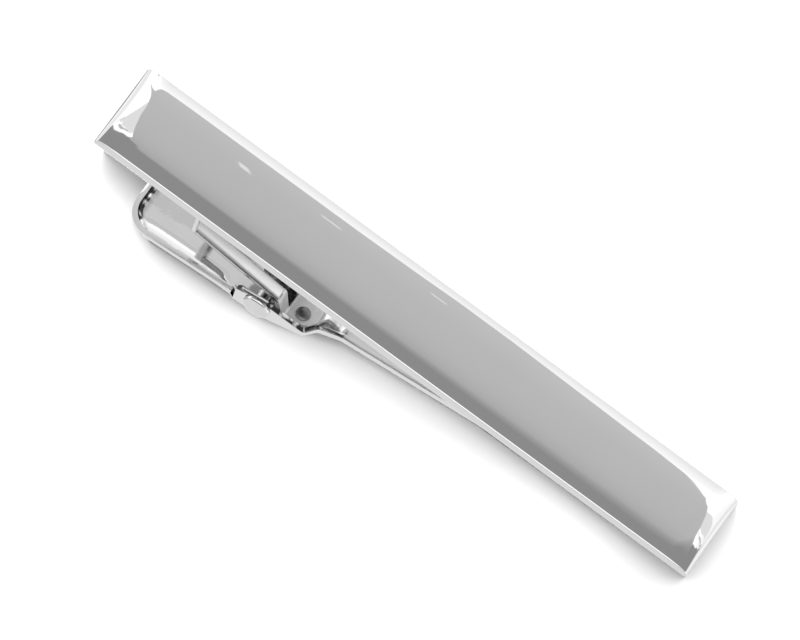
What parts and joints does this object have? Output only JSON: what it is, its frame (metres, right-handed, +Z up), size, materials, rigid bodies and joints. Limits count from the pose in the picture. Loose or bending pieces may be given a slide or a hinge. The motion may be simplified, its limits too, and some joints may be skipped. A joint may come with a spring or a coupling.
{
  "type": "tie clip",
  "caption": "Polished metal tie clip: a plain bar, gently domed across, with a sprung, toothed clip lever hinged on a bracket behind it.",
  "frame": {"origin": "on the table, below the middle of the clip's bounding box, as it lies on its lever", "axes": "+X towards the jaw end of the bar, +Z up off the table; the front of the bar faces up"},
  "size_m": [0.057, 0.0086, 0.0133],
  "materials": {
    "plated_bar": "mirror polished plating on brass",
    "plated_lever": "bright plating on a pressing",
    "plated_fitting": "bright plating",
    "spring_steel": "bright rolled spring strip"
  },
  "bodies": {
    "bar": {"front_bar": "plated_bar", "hinge_bracket": "plated_fitting", "hinge_pin": "plated_fitting"},
    "lever": {"clip_lever": "plated_lever", "fork_spring": "spring_steel", "spring_rivet_left": "plated_fitting", "spring_rivet_right": "plated_fitting"}
  },
  "joints": [
    {"name": "lever_hinge", "type": "hinge", "parent": "bar", "child": "lever", "pos_m": [-0.01215, 0, 0.00203], "axis": [0, 1, 0], "range_deg": [0, 22], "stiffness_Nm_per_rad": 0.02, "springref_deg": -20.05, "deforming": ["fork_spring"]}
  ]
}
